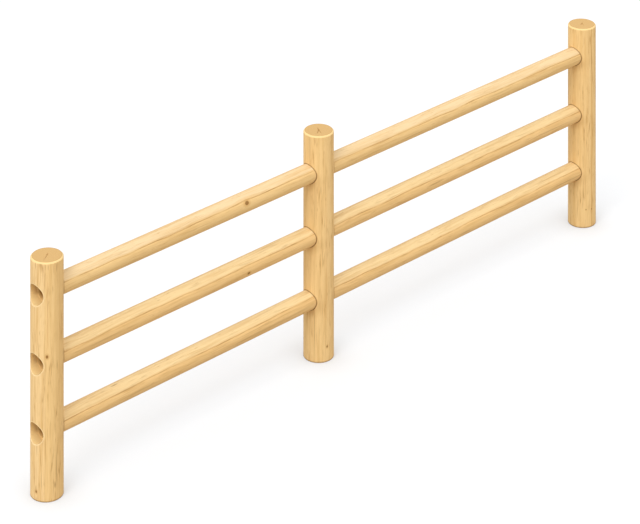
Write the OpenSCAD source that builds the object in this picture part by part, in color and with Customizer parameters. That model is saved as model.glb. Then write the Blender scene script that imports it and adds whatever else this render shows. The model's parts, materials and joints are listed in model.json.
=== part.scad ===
// Three-rail fence of milled round timber: two bays between three posts.
// The rails are let into blind sockets bored in the posts. The end posts have
// open sockets on their outer sides, so that the fence can run on.
// Millimetres, +X along the fence, +Y to its back, +Z up. The origin is the
// centre of the middle post's foot, at ground level.

/* [Bays] */
// Length of the left bay, post centre to post centre
left_bay = 1800; // [1000:50:2400]
// Length of the right bay, post centre to post centre
right_bay = 2100; // [1000:50:2400]

/* [Posts] */
// Diameter of the posts
post_d = 160; // [140:5:200]
// Rise of an end post above the axis of its top rail
end_post_head = 165; // [100:5:300]
// Rise of the middle post above the axis of its top rails
middle_post_head = 205; // [100:5:300]
// Size of the 45 degree chamfer round the top of a post
post_top_chamfer = 7; // [2:0.5:15]
// Size of the 45 degree arris taken off the foot of a post
post_foot_chamfer = 2; // [1:0.5:5]

/* [Rails] */
// Diameter of the rails
rail_d = 100; // [70:5:120]
// Height of the bottom rail's axis above the ground
bottom_rail_z = 315; // [200:5:400]
// Distance from one rail's axis to the next one up
rail_pitch = 330; // [200:5:400]
// Size of the 45 degree arris taken off the ends of a rail
rail_end_chamfer = 3; // [1:0.5:6]

/* [Sockets] */
// Depth of a socket, from the crown of the post to its flat bottom
socket_depth = 60; // [35:1:66]
// Clearance between a rail and the wall of its socket
socket_clearance = 0.3; // [0.1:0.1:0.9]
// Gap between the end of a rail and the bottom of its socket
socket_end_gap = 0.3; // [0.1:0.1:0.9]

/* [Hidden] */
$fn = 96;
TIERS = ["bottom", "middle", "top"];
top_rail_z = bottom_rail_z + (len(TIERS) - 1) * rail_pitch;

// Each post: its name, its place along the fence and its height
POSTS = [
    ["left_post", -left_bay, top_rail_z + end_post_head],
    ["middle_post", 0, top_rail_z + middle_post_head],
    ["right_post", right_bay, top_rail_z + end_post_head],
];

// Each bay: its name and the middles of the posts at its two ends
BAYS = [
    ["left", -left_bay, 0],
    ["right", 0, right_bay],
];

function rail_name(bay, tier) = str(bay[0], "_", TIERS[tier], "_rail");
function rail_z(tier) = bottom_rail_z + tier * rail_pitch;

// A round bar that stands on z = 0, with its own chamfer at each end
module milled_bar(d, length, low_chamfer, high_chamfer) {
    r = d / 2;
    rotate_extrude()
        polygon([
            [0, 0],
            [r - low_chamfer, 0],
            [r, low_chamfer],
            [r, length - high_chamfer],
            [r - high_chamfer, length],
            [0, length],
        ]);
}

// One socket for a rail's end, bored from beyond the post's crown on the side
// that side names: 1 is towards +X and -1 towards -X
module socket(side) {
    overshoot = 10;
    bottom = post_d / 2 - socket_depth;
    rotate([0, side * 90, 0])
        translate([0, 0, bottom])
            cylinder(d = rail_d + 2 * socket_clearance, h = socket_depth + overshoot);
}

module post(height) {
    color("#E9C386")
        difference() {
            milled_bar(post_d, height, post_foot_chamfer, post_top_chamfer);
            for (tier = [0:len(TIERS) - 1], side = [-1, 1])
                translate([0, 0, rail_z(tier)]) socket(side);
        }
}

// A rail lies along +X, from the bottom of one socket to the bottom of the next
module rail(bay) {
    inset = post_d / 2 - socket_depth + socket_end_gap;
    length = bay[2] - bay[1] - 2 * inset;
    color("#F3D398")
        translate([bay[1] + inset, 0, 0])
            rotate([0, 90, 0])
                milled_bar(rail_d, length, rail_end_chamfer, rail_end_chamfer);
}

for (p = POSTS)
    translate([p[1], 0, 0]) post(p[2]);

for (b = BAYS, tier = [0:len(TIERS) - 1])
    translate([0, 0, rail_z(tier)]) rail(b);
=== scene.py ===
"""A three-rail fence of milled round pine: three posts and the six rails let into them.

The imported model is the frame. Each piece here is a finer mesh of one of its nodes, at the
same place and size, with eased edges, drying checks and the grain of the timber. Lengths
are metres, apart from names that end in _mm, and angles are degrees.

A piece of timber is described in its own trunk: Z runs along it, and a bearing is the angle
round it. On a post the bearing is 0 at the fence's front (-Y) and grows towards +X. On a
rail it is 0 at the front and grows upwards.
"""

import json
import logging
import math
from dataclasses import dataclass, field, replace
from enum import Enum

import bmesh
import bpy
from mathutils import Matrix, Vector


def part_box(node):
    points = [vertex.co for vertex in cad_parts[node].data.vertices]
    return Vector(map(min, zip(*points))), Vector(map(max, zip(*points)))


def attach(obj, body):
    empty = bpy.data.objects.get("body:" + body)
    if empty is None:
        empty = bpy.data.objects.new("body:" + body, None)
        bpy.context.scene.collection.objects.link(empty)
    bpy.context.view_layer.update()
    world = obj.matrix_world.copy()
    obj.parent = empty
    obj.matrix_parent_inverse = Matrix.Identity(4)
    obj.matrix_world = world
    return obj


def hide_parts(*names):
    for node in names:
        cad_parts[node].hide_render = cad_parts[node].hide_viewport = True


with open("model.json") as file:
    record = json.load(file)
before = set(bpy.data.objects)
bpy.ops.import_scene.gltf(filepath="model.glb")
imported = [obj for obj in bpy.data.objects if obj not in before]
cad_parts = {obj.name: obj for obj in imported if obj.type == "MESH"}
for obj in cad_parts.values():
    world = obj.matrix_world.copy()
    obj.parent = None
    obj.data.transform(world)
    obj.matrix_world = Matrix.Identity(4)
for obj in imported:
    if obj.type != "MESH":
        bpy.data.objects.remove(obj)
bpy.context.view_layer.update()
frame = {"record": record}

LOG = logging.getLogger("fence")

MM = 0.001
BODY = "root"
TRUNK_PLACE = "trunk_place"  # each point's place in its own trunk, in millimetres
LEVEL = (1, 1, 0)  # a factor that leaves out the height
FAR = 99.0  # a distance past every mark, in its own radii
MILL = "milled_rail"  # the name of the tree that mills the rails
END_RINGS = 3  # rings of faces on each end of a rail
LIP_COLUMNS = 2.0  # columns on either side of a rail's check that are drawn in to its lips

Tree = bpy.types.NodeTree
Node = bpy.types.Node
Point = tuple[float, float, float]
Feed = float | tuple | bpy.types.NodeSocket | Node | None


class Stock(Enum):
    """The two kinds of milled timber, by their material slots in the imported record."""

    POST = "post_pine"
    RAIL = "rail_pine"


class Side(Enum):
    """The side of a post that a socket is bored from, as the sign of X."""

    LEFT = -1
    RIGHT = 1


def linear(hex_colour: str) -> tuple[float, float, float, float]:
    """Turns an sRGB hex colour into the linear values that the nodes take.

    Args:
        hex_colour: The colour, such as "#F2CC8F".

    Returns:
        Linear red, green and blue, and an alpha of 1.
    """
    parts = [int(hex_colour[i : i + 2], 16) / 255 for i in (1, 3, 5)]
    red, green, blue = [p / 12.92 if p <= 0.04045 else ((p + 0.055) / 1.055) ** 2.4 for p in parts]
    return red, green, blue, 1.0


def add(tree: Tree, kind: str, *feeds: Feed, **settings: object) -> Node:
    """Adds one node to a tree, with its settings and what goes into it.

    Args:
        tree: The shader or geometry tree that gets the node.
        kind: The node's type without its first words, such as "MapRange". Its operation
            or data type follows after a space, as in "Math MULTIPLY" or "Mix RGBA".
        feeds: What each input in use takes, in their order: a value, a socket, a node
            for its first output in use, or None to leave the input as it is.
        settings: The node's other properties.

    Returns:
        The new node.
    """
    kind, _, work = kind.partition(" ")
    family = next(f for f in ("ShaderNode", "GeometryNode", "") if hasattr(bpy.types, f + kind))
    node = tree.nodes.new(family + kind)
    if work:
        settings["operation" if hasattr(node, "operation") else "data_type"] = work
    for name, value in settings.items():
        setattr(node, name, value)
    for socket, feed in zip([s for s in node.inputs if s.enabled], feeds):
        if feed is None:
            continue
        if isinstance(feed, Node):
            feed = next(s for s in feed.outputs if s.enabled)
        if isinstance(feed, bpy.types.NodeSocket):
            tree.links.new(feed, socket)
        else:
            socket.default_value = feed
    return node


@dataclass(frozen=True)
class Mark:
    """Something that shows at one place in the side of a timber."""

    along: float  # its place along the trunk: a height on a post, X on a rail
    bearing: float  # its place round the trunk


@dataclass(frozen=True)
class Knot(Mark):
    """A branch that the mill cut through."""

    radius_mm: float  # of its dark core


@dataclass(frozen=True)
class Pocket(Mark):
    """A thin pocket of resin or an end check, drawn out along the grain."""

    width_mm: float  # at its middle
    length_mm: float
    shade: float = 0.6  # how dark it is at the middle, up to 1


@dataclass(frozen=True)
class Band:
    """A darker band all along a trunk. Most are darker wood, where the side cuts a ring at a
    slant; a rail's two default bands and the broad bands on the far side of the middle and
    right posts from the key lamp are painted shade.
    """

    start: float  # the lower bearing of its edges
    end: float  # the higher one
    shade: float  # how much darker it is, up to 1


@dataclass(frozen=True)
class Shake:
    """A crack across a sawn head, which runs out from the pith."""

    bearing: float  # the way that it runs
    length_mm: float
    shade: float = 0.6  # how dark it is, up to 1


@dataclass(frozen=True)
class Seam:
    """The line on a piece where another round piece passes into it."""

    centre: Point  # a point on the axis of the round that the line runs about
    across: Point  # 1 for each direction that is square to that axis, and 0 along it
    radius: float  # of that round
    side: Side | None = None  # the side of the piece that it is on, or None for all round

    def mark(self, tree: Tree, point: Feed, start_mm: float, end_mm: float, most: Feed) -> Node:
        """Adds a mark that lies along the seam and fades with the distance from it.

        Args:
            tree: The material's nodes.
            point: The point's place in the scene.
            start_mm: How far from the seam the mark begins to fade.
            end_mm: How far from it the mark ends.
            most: How strong it is on the seam.

        Returns:
            The node with the strength there.
        """
        away = add(tree, "VectorMath SUBTRACT", point, self.centre)
        across = add(tree, "VectorMath MULTIPLY", away, self.across)
        reach = add(tree, "VectorMath LENGTH", across)
        start, end = self.radius + start_mm * MM, self.radius + end_mm * MM
        mark = add(tree, "MapRange", reach, start, end, most, 0.0)
        if self.side is None:
            return mark
        out = add(tree, "VectorMath DOT_PRODUCT", away, (self.side.value, 0, 0))
        shown = add(tree, "Math GREATER_THAN", out, 0.0)
        return add(tree, "Math MULTIPLY", mark, shown)


@dataclass(frozen=True)
class Pattern:
    """Noise that is drawn out along the grain."""

    across_mm: float  # size of a patch across the grain
    along_mm: float  # size of a patch along it
    apart: float  # sets it apart from the trunk's other patterns
    detail: float = 3.0  # how many finer patterns are laid over it


@dataclass(frozen=True)
class Wave:
    """A way in which the fibres wander from a straight line."""

    across_mm: float  # distance across the grain over which it changes
    along_mm: float  # distance along the grain over which it changes
    reach_mm: float  # how far it moves them to either side


@dataclass(frozen=True)
class Trunk:
    """How one piece was cut from its log. Bearings are from the edge of the heartwood."""

    stock: Stock
    radius_mm: float  # the milled radius
    top_mm: float  # where it ends along its own Z
    seed: int  # sets its own grain apart from the other pieces'
    sap_reach: float  # how far round the pale sapwood runs
    knots: tuple[Knot, ...]
    pockets: tuple[Pocket, ...]
    bands: tuple[Band, ...]
    seams: tuple[Seam, ...]  # the lines where it meets the other pieces
    mouths: tuple[Seam, ...] = ()  # the edges of its empty sockets
    shakes: tuple[Shake, ...] = ()  # the cracks in its head
    bores_mm: tuple[float, ...] = ()  # heights of the axes of its sockets


def drawn_out(tree: Tree, place: Feed, across_mm: float, along_mm: float) -> Node:
    """Scales a place so that one patch of a pattern gets a real size.

    Args:
        tree: The material's nodes.
        place: The place, with Z along the grain.
        across_mm: Size of a patch across the grain.
        along_mm: Size of a patch along it.

    Returns:
        The node with the pattern's own coordinates.
    """
    return add(tree, "VectorMath MULTIPLY", place, (1 / across_mm, 1 / across_mm, 1 / along_mm))


class Grain:
    """The nodes that tell where a shaded point lies in the bent grain of its trunk.

    Attributes:
        tree: The material's nodes.
        trunk: The trunk.
        place: The point's place in the straight trunk.
        knot: Its distance from the nearest knot, in that knot's own radii.
        point: Its place in the bent grain, with Z along the trunk.
        pith: Its distance from the pith.
        bearing: Its bearing from the edge of the heartwood, in radians.
    """

    def __init__(self, tree: Tree, trunk: Trunk, waves: tuple[Wave, ...]) -> None:
        """Bends the grain round the knots and lets it wander, since no trunk grows straight.

        Args:
            tree: The material's nodes.
            trunk: The trunk.
            waves: The ways in which its fibres wander.
        """
        self.tree, self.trunk = tree, trunk
        self.place = add(tree, "Attribute", attribute_name=TRUNK_PLACE).outputs["Vector"]
        turn, self.knot = self.round_knots()
        for wave in waves:
            cell = drawn_out(tree, self.place, wave.across_mm, wave.along_mm)
            sway = add(tree, "TexNoise", cell, trunk.seed + 2.9, 1.0, 1.0, noise_dimensions="4D")
            reach = wave.reach_mm / trunk.radius_mm
            sway = add(tree, "MapRange", sway, 0.3, 0.7, -reach, reach)
            turn = add(tree, "Math ADD", turn, sway)
        self.point = add(tree, "VectorRotate", self.place, None, turn, rotation_type="Z_AXIS")
        flat = add(tree, "VectorMath MULTIPLY", self.point, LEVEL)
        self.pith = add(tree, "VectorMath LENGTH", flat)
        x, y, _ = add(tree, "SeparateXYZ", self.point).outputs
        self.bearing = add(tree, "Math ARCTAN2", y, x)

    def seen_from(self, mark: Mark) -> tuple[Feed, Feed, Feed]:
        """Adds a mark's own view of the point.

        Args:
            mark: The knot or pocket.

        Returns:
            The point's distances from the mark across and along the grain, and 1 where it
            lies on the same side of the trunk, near the wall.
        """
        shift, turn = (0, 0, -mark.along / MM), (0, 0, -math.radians(mark.bearing))
        here = add(self.tree, "Mapping", self.place, shift, turn)
        out, across, along = add(self.tree, "SeparateXYZ", here).outputs
        near_wall = add(self.tree, "Math GREATER_THAN", out, 0.7 * self.trunk.radius_mm)
        return across, along, near_wall

    def round_knots(self) -> tuple[Feed, Feed]:
        """Adds the knots and the way that the fibres bend round them.

        Returns:
            The angle in radians that the grain turns by at the point, and the distance
            to the nearest knot in that knot's own radii.
        """
        tree = self.tree
        turn: Feed = 0.0
        nearest: Feed = FAR
        for knot in self.trunk.knots:
            across, along, shown = self.seen_from(knot)
            shorter = add(tree, "Math MULTIPLY", along, 0.75)
            oval = add(tree, "CombineXYZ", across, shorter)
            reach = add(tree, "VectorMath LENGTH", oval)
            radii = add(tree, "Math DIVIDE", reach, knot.radius_mm)
            hidden = add(tree, "Math SUBTRACT", 1.0, shown)
            radii = add(tree, "Math MULTIPLY_ADD", hidden, FAR, radii)
            nearest = add(tree, "Math MINIMUM", nearest, radii)
            bend = (1.5 * knot.radius_mm) ** 2
            shorter = add(tree, "Math MULTIPLY", along, 0.3)
            oval = add(tree, "CombineXYZ", across, shorter)
            square = add(tree, "VectorMath DOT_PRODUCT", oval, oval)
            spread = add(tree, "Math ADD", square, bend)
            lean = add(tree, "Math DIVIDE", across, spread)
            lean = add(tree, "Math MULTIPLY", lean, shown)
            turn = add(tree, "Math MULTIPLY_ADD", lean, -bend / self.trunk.radius_mm, turn)
        return turn, nearest

    def noise(self, look: Pattern) -> Node:
        """Adds noise that follows the bent grain.

        Args:
            look: Its pattern.

        Returns:
            The noise node.
        """
        cell = drawn_out(self.tree, self.point, look.across_mm, look.along_mm)
        seed = self.trunk.seed + look.apart
        return add(self.tree, "TexNoise", cell, seed, 1.0, look.detail, 0.55, noise_dimensions="4D")


@dataclass(frozen=True)
class PineFinish:
    """Scots pine, milled to a round bar and left bare.

    The cutter leaves a smooth, dry surface: a wide soft sheen and no gloss. The bar runs
    along the grain, so growth rings show as long streaks and never as bands across it.
    The sapwood is pale cream, the heartwood a warmer tan, and the sawn ends are darker
    because their open pores take in the light.
    """

    sapwood: str  # the outer wood
    heartwood: str  # the inner wood
    latewood: str  # the dense, dark part of a growth ring
    edge_soft: float  # the angle in radians over which heartwood turns to sapwood
    edge_line: float  # how strong the dark line is at the heartwood's edge
    edge_line_mm: float  # half the width of that line
    line: float  # how strong the fine dark lines of the side are
    bare_wood_and_highlight: str = "#FBDB9C"  # the pale wood that a bore lays bare; also a painted highlight on the chamfers
    socket_shade: str = "#754A06"  # painted shade in the upper, deeper part of a socket
    resin: str = "#A5702C"  # fine lines, flecks and pockets of resin; also the colour of the painted shade under a rail
    end_grain: str = "#DBB578"  # a sawn end
    knot_core: str = "#9C7440"
    knot_rim: str = "#8A622E"  # the bark that is left round a knot
    knot_halo: str = "#D2A05C"  # the resin-rich wood about it
    crevice_shade: str = "#784806"  # painted shade in the head's cracks, along the lines where rails enter posts and round a post's foot
    rim_highlight: str = "#FFE2AC"  # a painted highlight round the mouth of an empty socket
    ring_mm: float = 6.0  # distance between growth rings
    ring_sway: Pattern = Pattern(60.0, 900.0, 1.3)  # the way that the rings' distance changes
    streaks: Pattern = Pattern(14.0, 330.0, 3.1)  # the broad streaks
    lines: Pattern = Pattern(11.0, 260.0, 5.9, 1.0)  # the fine dark lines
    patches: Pattern = Pattern(26.0, 120.0, 8.3)  # where these lines are strong or faint
    fibres: Pattern = Pattern(1.4, 55.0, 7.7)  # bundles, since a fibre of 0.03 mm can't show
    fleck_mm: tuple[float, float] = (11.0, 75.0)  # room for each fleck, across and along
    ragged: float = 0.06  # how far the edges of bands stray, in radians
    band_soft: float = 0.02  # the angle in radians over which such an edge fades
    bare_mm: tuple[float, float] = (1.0, 5.0)  # depths over which bored wood turns bare
    socket_shade_mm: tuple[float, float] = (12.0, 50.0)  # depths over which that painted shade comes in
    roof_mm: tuple[float, float] = (-65.0, -15.0)  # heights over the axis where that starts
    bore_top_mm: float = 100.0  # a height over the axis that is past the bore
    end_mm: float = 5.0  # how deep a sawn end's own look reaches
    pith_mm: tuple[float, float] = (1.5, 7.0)  # reach of the pith and of the stain about it
    shake_mm: tuple[float, float] = (0.8, 3.2)  # half the width of a crack and of its stain
    sunk_mm: tuple[float, float] = (0.2, 1.2)  # depths over which painted shade darkens the cracks
    seam_mm: float = 4.5  # how far painted shade and highlight reach from a seam or a mouth
    joint_shade_rise_mm: tuple[float, float] = (-35.0, 15.0)  # heights over a rail where the painted shade along a joint thins out
    under_rail_shade_mm: float = 45.0  # how far the painted shade under a rail reaches
    under_rail_shade_rise_mm: tuple[float, float] = (10.0, -40.0)  # heights over a rail where it comes in
    foot_shade_mm: float = 9.0  # how far painted contact shade reaches up a foot
    rim_highlight_mm: float = 2.0  # how wide the painted highlight round a mouth is
    relief_mm: float = 0.15  # height of the fibres and rings
    relief_share: float = 0.15  # how much of that height the light picks out
    roughness: tuple[float, float] = (0.6, 0.74)  # of the smoothest and the roughest fibres
    ior: float = 1.47  # of dry cellulose
    sheen_level: float = 0.25  # half the usual, since the pores scatter the light
    waves: tuple[Wave, ...] = (Wave(60.0, 260.0, 3.0), Wave(18.0, 80.0, 1.0))

    def material(self, name: str, trunk: Trunk) -> bpy.types.Material:
        """Makes the finish for one piece of timber.

        Args:
            name: The material's name.
            trunk: How the piece was cut from its log.

        Returns:
            The material.
        """
        material = bpy.data.materials.new(name)
        material.use_nodes = True
        tree = material.node_tree
        tree.nodes.clear()
        grain = Grain(tree, trunk, self.waves)
        rings = self.rings(grain)
        fibres = grain.noise(self.fibres)
        colour = self.side_colour(grain, rings)
        for coat in (self.lined, self.flecked, self.pocketed, self.bored):
            colour = coat(grain, colour)
        colour = self.ended(grain, rings, colour)
        for coat in (self.knotted, self.seamed):
            colour = coat(grain, colour)
        tone = add(tree, "MapRange", fibres, 0.25, 0.75, 0.2, 0.0)
        colour = add(tree, "Mix RGBA", tone, colour, linear(self.resin))
        rough = add(tree, "MapRange", fibres, 0.2, 0.8, *self.roughness)
        relief = add(tree, "Math ADD", fibres, rings)
        bump = add(tree, "Bump", self.relief_share, self.relief_mm * MM, None, relief)
        wood = add(tree, "BsdfPrincipled", colour)
        wood.inputs["IOR"].default_value = self.ior
        wood.inputs["Specular IOR Level"].default_value = self.sheen_level
        tree.links.new(rough.outputs["Result"], wood.inputs["Roughness"])
        tree.links.new(bump.outputs["Normal"], wood.inputs["Normal"])
        add(tree, "OutputMaterial", wood)
        return material

    def rings(self, grain: Grain) -> Node:
        """Adds the growth rings, which are true to the pith and wander further out.

        Args:
            grain: The grain.

        Returns:
            A node that gives 0 in the pale wood and 1 in the dark wood of a ring.
        """
        tree = grain.tree
        wander = grain.noise(self.ring_sway)
        wander = add(tree, "MapRange", wander, 0.0, 1.0, 0.72, 1.28)
        years = add(tree, "Math MULTIPLY", grain.pith, wander)
        years = add(tree, "Math DIVIDE", years, self.ring_mm)
        year = add(tree, "Math FRACT", years)
        # A ring darkens slowly through the summer and ends at a sharp line.
        summer = add(tree, "MapRange", year, 0.35, 0.9, interpolation_type="SMOOTHSTEP")
        winter = add(tree, "MapRange", year, 0.93, 1.0, 1.0, 0.0)
        return add(tree, "Math MULTIPLY", summer, winter)

    def side_colour(self, grain: Grain, rings: Feed) -> Node:
        """Colours the milled side: sapwood, heartwood, rings, bands and streaks.

        Args:
            grain: The grain.
            rings: How much of the dark wood of a ring shows.

        Returns:
            The node with the colour.
        """
        tree = grain.tree
        streaks = grain.noise(self.streaks)
        ragged = add(tree, "Math MULTIPLY_ADD", streaks, self.ragged, grain.bearing)
        ragged = add(tree, "Math SUBTRACT", ragged, self.ragged / 2)
        reach = math.radians(grain.trunk.sap_reach)
        begins = add(tree, "MapRange", ragged, 0.0, self.edge_soft)
        ends = add(tree, "MapRange", ragged, reach - 0.1, reach + 0.1, 1.0, 0.0)
        sap = add(tree, "Math MULTIPLY", begins, ends)
        colour = add(tree, "Mix RGBA", sap, linear(self.heartwood), linear(self.sapwood))
        dark = add(tree, "MapRange", streaks, 0.48, 0.75, 0.0, 0.6)
        dark = add(tree, "Math MULTIPLY_ADD", rings, 0.15, dark)
        soft = self.band_soft
        for band in grain.trunk.bands:
            start, end = math.radians(band.start), math.radians(band.end)
            rises = add(tree, "MapRange", ragged, start - soft, start + soft, 0.0, band.shade)
            falls = add(tree, "MapRange", ragged, end - soft, end + soft, band.shade, 0.0)
            shade = add(tree, "Math MINIMUM", rises, falls)
            dark = add(tree, "Math MAXIMUM", dark, shade)
        return add(tree, "Mix RGBA", dark, colour, linear(self.latewood))

    def lined(self, grain: Grain, colour: Feed) -> Node:
        """Adds dark lines: fine, sparse ones, and the one at the heartwood's edge.

        Args:
            grain: The grain.
            colour: The colour so far.

        Returns:
            The node with the colour.
        """
        tree = grain.tree
        noise = grain.noise(self.lines)
        off = add(tree, "Math SUBTRACT", noise, 0.52)
        off = add(tree, "Math ABSOLUTE", off)
        fine = add(tree, "MapRange", off, 0.0, 0.05, 1.0, 0.0)
        patches = grain.noise(self.patches)
        faint = add(tree, "MapRange", patches, 0.45, 0.62, 0.0, self.line)
        fine = add(tree, "Math MULTIPLY", fine, faint)
        arc = add(tree, "Math MULTIPLY", grain.bearing, grain.trunk.radius_mm)
        arc = add(tree, "Math ABSOLUTE", arc)
        edge = add(tree, "MapRange", arc, 0.4, self.edge_line_mm, self.edge_line, 0.0)
        broken = add(tree, "MapRange", patches, 0.4, 0.6, 0.3, 1.0)
        edge = add(tree, "Math MULTIPLY", edge, broken)
        lines = add(tree, "Math MAXIMUM", fine, edge)
        return add(tree, "Mix RGBA", lines, colour, linear(self.resin))

    def flecked(self, grain: Grain, colour: Feed) -> Node:
        """Adds fine resin flecks, which lie along the grain.

        Args:
            grain: The grain.
            colour: The colour so far.

        Returns:
            The node with the colour.
        """
        tree = grain.tree
        cell = drawn_out(tree, grain.point, *self.fleck_mm)
        flecks = add(tree, "TexVoronoi", cell, 1.0)
        core = add(tree, "MapRange", flecks.outputs["Distance"], 0.05, 0.2, 0.4, 0.0)
        chance = add(tree, "SeparateColor", flecks.outputs["Color"])
        picked = add(tree, "Math GREATER_THAN", chance, 0.66)
        amount = add(tree, "Math MULTIPLY", core, picked)
        return add(tree, "Mix RGBA", amount, colour, linear(self.resin))

    def pocketed(self, grain: Grain, colour: Feed) -> Node:
        """Adds the pockets of resin, which run to a point at both ends.

        Args:
            grain: The grain.
            colour: The colour so far.

        Returns:
            The node with the colour.
        """
        tree = grain.tree
        worst: Feed = 0.0
        for pocket in grain.trunk.pockets:
            across, along, shown = grain.seen_from(pocket)
            wide = add(tree, "Math MULTIPLY", across, 2 / pocket.width_mm)
            long = add(tree, "Math MULTIPLY", along, 2 / pocket.length_mm)
            wide = add(tree, "Math ABSOLUTE", wide)
            square = add(tree, "Math MULTIPLY_ADD", long, long, wide)
            shade = add(tree, "MapRange", square, 0.0, 1.0, pocket.shade, 0.0)
            shade = add(tree, "Math MULTIPLY", shade, shown)
            worst = add(tree, "Math MAXIMUM", worst, shade)
        return add(tree, "Mix RGBA", worst, colour, linear(self.knot_rim))

    def bored(self, grain: Grain, colour: Feed) -> Node:
        """Colours the wood inside the trunk, which only the sockets lay bare.

        Painted shade darkens the upper, deeper part of each socket,
        and its lower half keeps the pale bared wood.

        Args:
            grain: The grain.
            colour: The colour so far.

        Returns:
            The node with the colour.
        """
        tree, wall = grain.tree, grain.trunk.radius_mm
        bare = add(tree, "MapRange", grain.pith, *[wall - depth for depth in self.bare_mm])
        colour = add(tree, "Mix RGBA", bare, colour, linear(self.bare_wood_and_highlight))
        height = add(tree, "SeparateXYZ", grain.point).outputs[2]
        roof: Feed = 0.0
        for bore in grain.trunk.bores_mm:
            rises = add(tree, "MapRange", height, *[bore + rise for rise in self.roof_mm])
            above = add(tree, "Math LESS_THAN", height, bore + self.bore_top_mm)
            rises = add(tree, "Math MULTIPLY", rises, above)
            roof = add(tree, "Math MAXIMUM", roof, rises)
        # Painted shade: darker towards the roof and the bottom of each socket.
        deep = add(tree, "MapRange", grain.pith, *[wall - depth for depth in self.socket_shade_mm])
        socket_shade_amount = add(tree, "Math MULTIPLY", roof, deep)
        return add(tree, "Mix RGBA", socket_shade_amount, colour, linear(self.socket_shade))

    def ended(self, grain: Grain, rings: Feed, colour: Feed) -> Node:
        """Colours the sawn ends with the rings and the pith, paints a highlight on the chamfers
        and paints shade into the cracks of the head.

        Args:
            grain: The grain.
            rings: How much of the dark wood of a ring shows.
            colour: The colour of the sides.

        Returns:
            The node with the colour.
        """
        tree, trunk, wall = grain.tree, grain.trunk, grain.trunk.radius_mm
        facing = add(tree, "NewGeometry").outputs["True Normal"]
        axis = (0, 0, 1) if trunk.stock is Stock.POST else (1, 0, 0)
        along = add(tree, "VectorMath DOT_PRODUCT", facing, axis)
        along = add(tree, "Math ABSOLUTE", along)
        height = add(tree, "SeparateXYZ", grain.point).outputs[2]
        below = add(tree, "Math SUBTRACT", trunk.top_mm, height)
        near_end = add(tree, "Math LESS_THAN", below, self.end_mm)
        sawn = add(tree, "MapRange", along, 0.8, 0.96)
        sawn = add(tree, "Math MULTIPLY", sawn, near_end)
        # Painted highlight: faces that slant to the axis, such as the chamfers, take the pale bared wood.
        cut = add(tree, "MapRange", along, 0.4, 0.65, 0.0, 0.7)
        colour = add(tree, "Mix RGBA", cut, colour, linear(self.bare_wood_and_highlight))
        mark = add(tree, "MapRange", grain.pith, *self.pith_mm, 0.9, 0.0)
        for shake in trunk.shakes:
            here = add(tree, "Mapping", grain.place, None, (0, 0, -math.radians(shake.bearing)))
            out, across, _ = add(tree, "SeparateXYZ", here).outputs
            across = add(tree, "Math ABSOLUTE", across)
            thin = add(tree, "MapRange", across, *self.shake_mm, shake.shade, 0.0)
            tip = shake.length_mm
            fades = add(tree, "MapRange", out, 0.6 * tip, tip, 1.0, 0.0)
            fades = add(tree, "Math MULTIPLY", thin, fades)
            ahead = add(tree, "Math GREATER_THAN", out, 0.0)
            fades = add(tree, "Math MULTIPLY", fades, ahead)
            mark = add(tree, "Math MAXIMUM", mark, fades)
        rim = add(tree, "MapRange", grain.pith, 0.86 * wall, 0.9 * wall, 0.0, 0.35)
        mark = add(tree, "Math MAXIMUM", mark, rim)
        ring = add(tree, "Math MULTIPLY_ADD", rings, 0.3, mark)
        end = add(tree, "Mix RGBA", ring, linear(self.end_grain), linear(self.resin))
        colour = add(tree, "Mix RGBA", sawn, colour, end)
        # Painted shade, darker deeper into the cracks of the head.
        inside = add(tree, "Math LESS_THAN", grain.pith, 0.85 * wall)
        sunk = add(tree, "MapRange", below, *self.sunk_mm, 0.0, 0.8)
        sunk = add(tree, "Math MULTIPLY", sunk, inside)
        crack = add(tree, "Math MULTIPLY", sunk, near_end)
        return add(tree, "Mix RGBA", crack, colour, linear(self.crevice_shade))

    def knotted(self, grain: Grain, colour: Feed) -> Node:
        """Colours the knots and the wood about them.

        Args:
            grain: The grain.
            colour: The colour so far.

        Returns:
            The node with the colour.
        """
        soft = {"interpolation_type": "SMOOTHSTEP"}
        for inner, outer, shade, tint in (
            (0.9, 3.2, 0.6, self.knot_halo),
            (1.0, 1.35, 0.8, self.knot_rim),
            (0.6, 0.95, 1.0, self.knot_core),
        ):
            amount = add(grain.tree, "MapRange", grain.knot, inner, outer, shade, 0.0, **soft)
            colour = add(grain.tree, "Mix RGBA", amount, colour, linear(tint))
        return colour

    def seamed(self, grain: Grain, colour: Feed) -> Node:
        """Paints shade along the lines where rails enter posts, under each rail on a post and
        round the foot of a post, and paints a highlight round the edges of empty sockets.

        Args:
            grain: The grain.
            colour: The colour so far.

        Returns:
            The node with the colour.
        """
        tree, trunk = grain.tree, grain.trunk
        point = add(tree, "TexCoord").outputs["Object"]
        height = add(tree, "SeparateXYZ", point).outputs[2]
        pale: Feed = 0.0
        # Painted highlight round the mouth of each empty socket.
        for mouth in trunk.mouths:
            rim_highlight = mouth.mark(tree, point, self.rim_highlight_mm, self.rim_highlight_mm + self.seam_mm, 0.9)
            pale = add(tree, "Math MAXIMUM", pale, rim_highlight)
        near_wall = add(tree, "MapRange", grain.pith, trunk.radius_mm - 6, trunk.radius_mm - 3)
        pale = add(tree, "Math MULTIPLY", pale, near_wall)
        colour = add(tree, "Mix RGBA", pale, colour, linear(self.rim_highlight))
        # Painted contact shade round the foot of a post.
        joint_shade = add(tree, "MapRange", height, 0.0, self.foot_shade_mm * MM, 0.9, 0.0)
        under_rail_shade: Feed = 0.0
        for seam in trunk.seams:
            # The painted shade along a joint is darkest under the rail.
            rise = add(tree, "Math SUBTRACT", height, seam.centre[2])
            most = add(tree, "MapRange", rise, *[h * MM for h in self.joint_shade_rise_mm], 0.95, 0.65)
            line = seam.mark(tree, point, 0.5, self.seam_mm, most)
            joint_shade = add(tree, "Math MAXIMUM", joint_shade, line)
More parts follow.
